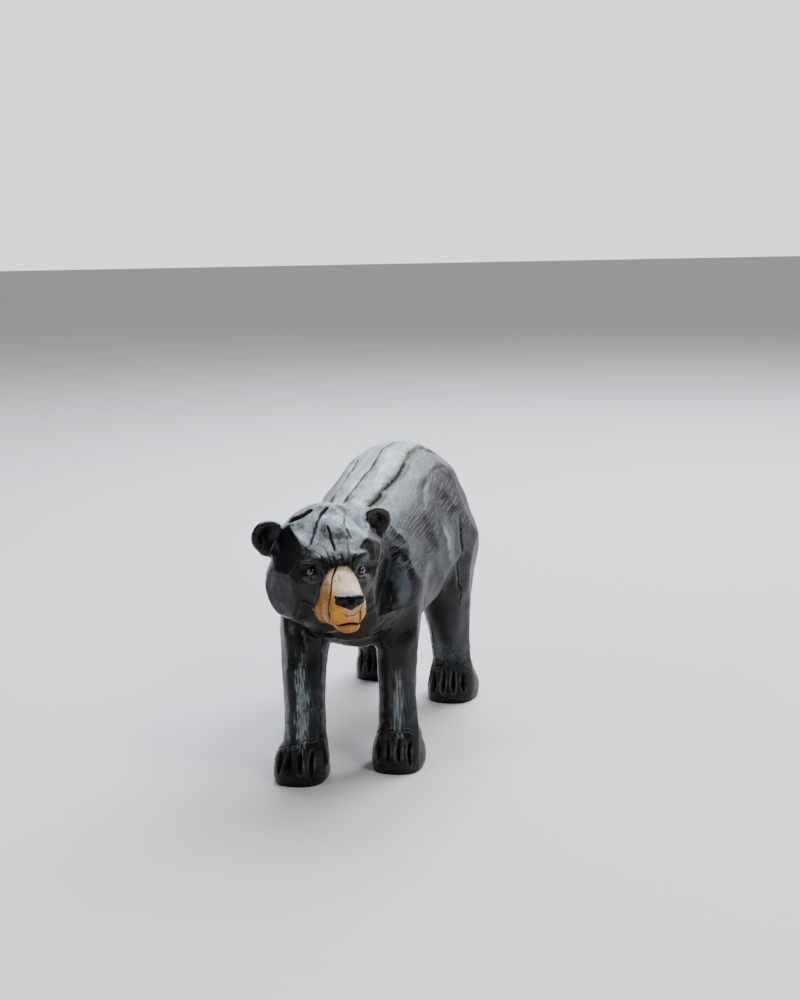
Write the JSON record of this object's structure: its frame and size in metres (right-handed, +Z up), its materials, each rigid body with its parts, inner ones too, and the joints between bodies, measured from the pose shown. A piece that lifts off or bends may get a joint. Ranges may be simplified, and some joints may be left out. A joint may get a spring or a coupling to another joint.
{
  "type": "carved wooden bear",
  "caption": "Hand-carved wooden bear walking on all fours, painted black with a tan muzzle, its head turned to its left.",
  "frame": {"origin": "centre of the bounding box, on the plane that the paws stand on", "axes": "the bear faces -Y with its left side to +X; +Z is up"},
  "size_m": [0.0884, 0.2472, 0.1451],
  "materials": {
    "painted_wood": "black paint, satin, worn through to grey-brown on the edges, with a tan muzzle and a black nose",
    "eye_glass": "glossy near-black bead"
  },
  "bodies": {
    "root": {"bear": "painted_wood", "left_eye": "eye_glass", "right_eye": "eye_glass"}
  },
  "joints": []
}
